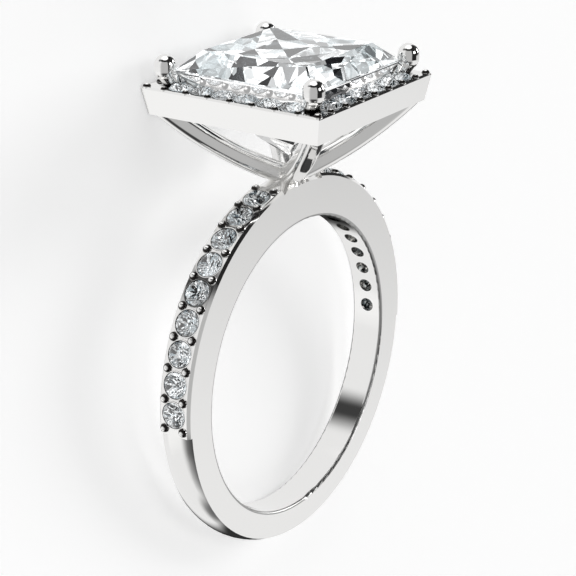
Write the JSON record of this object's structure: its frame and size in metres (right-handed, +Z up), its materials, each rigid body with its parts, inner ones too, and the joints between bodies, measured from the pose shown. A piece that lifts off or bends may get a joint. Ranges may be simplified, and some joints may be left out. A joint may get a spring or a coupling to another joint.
{
  "type": "halo ring",
  "caption": "Halo ring with a square princess cut centre stone in corner prongs, a square halo of small round stones, a curved open basket and stone-set shoulders on a slim band.",
  "frame": {"origin": "centre of the finger hole, halfway through the width of the band", "axes": "+Z up from the table, with the ring lying on its side as it comes to rest; -Y from the finger hole towards the head, which leans up from the table by the lying angle of about 9.9 degrees; +X across the finger hole"},
  "size_m": [0.021, 0.0278, 0.0106],
  "materials": {
    "white_metal": "mirror polished white gold",
    "centre_stone": "polished clear gemstone",
    "small_stone": "polished clear gemstone"
  },
  "bodies": {
    "root": {"setting": "white_metal", "centre_stone": "centre_stone", "halo_stone_01": "small_stone", "halo_stone_02": "small_stone", "halo_stone_03": "small_stone", "halo_stone_04": "small_stone", "halo_stone_05": "small_stone", "halo_stone_06": "small_stone", "halo_stone_07": "small_stone", "halo_stone_08": "small_stone", "halo_stone_09": "small_stone", "halo_stone_10": "small_stone", "halo_stone_11": "small_stone", "halo_stone_12": "small_stone", "halo_stone_13": "small_stone", "halo_stone_14": "small_stone", "halo_stone_15": "small_stone", "halo_stone_16": "small_stone", "halo_stone_17": "small_stone", "halo_stone_18": "small_stone", "halo_stone_19": "small_stone", "halo_stone_20": "small_stone", "halo_stone_21": "small_stone", "halo_stone_22": "small_stone", "halo_stone_23": "small_stone", "halo_stone_24": "small_stone", "shank_stone_01": "small_stone", "shank_stone_02": "small_stone", "shank_stone_03": "small_stone", "shank_stone_04": "small_stone", "shank_stone_05": "small_stone", "shank_stone_06": "small_stone", "shank_stone_07": "small_stone", "shank_stone_08": "small_stone", "shank_stone_09": "small_stone", "shank_stone_10": "small_stone", "shank_stone_11": "small_stone", "shank_stone_12": "small_stone", "shank_stone_13": "small_stone", "shank_stone_14": "small_stone", "shank_stone_15": "small_stone", "shank_stone_16": "small_stone", "shank_stone_17": "small_stone", "shank_stone_18": "small_stone"}
  },
  "joints": []
}
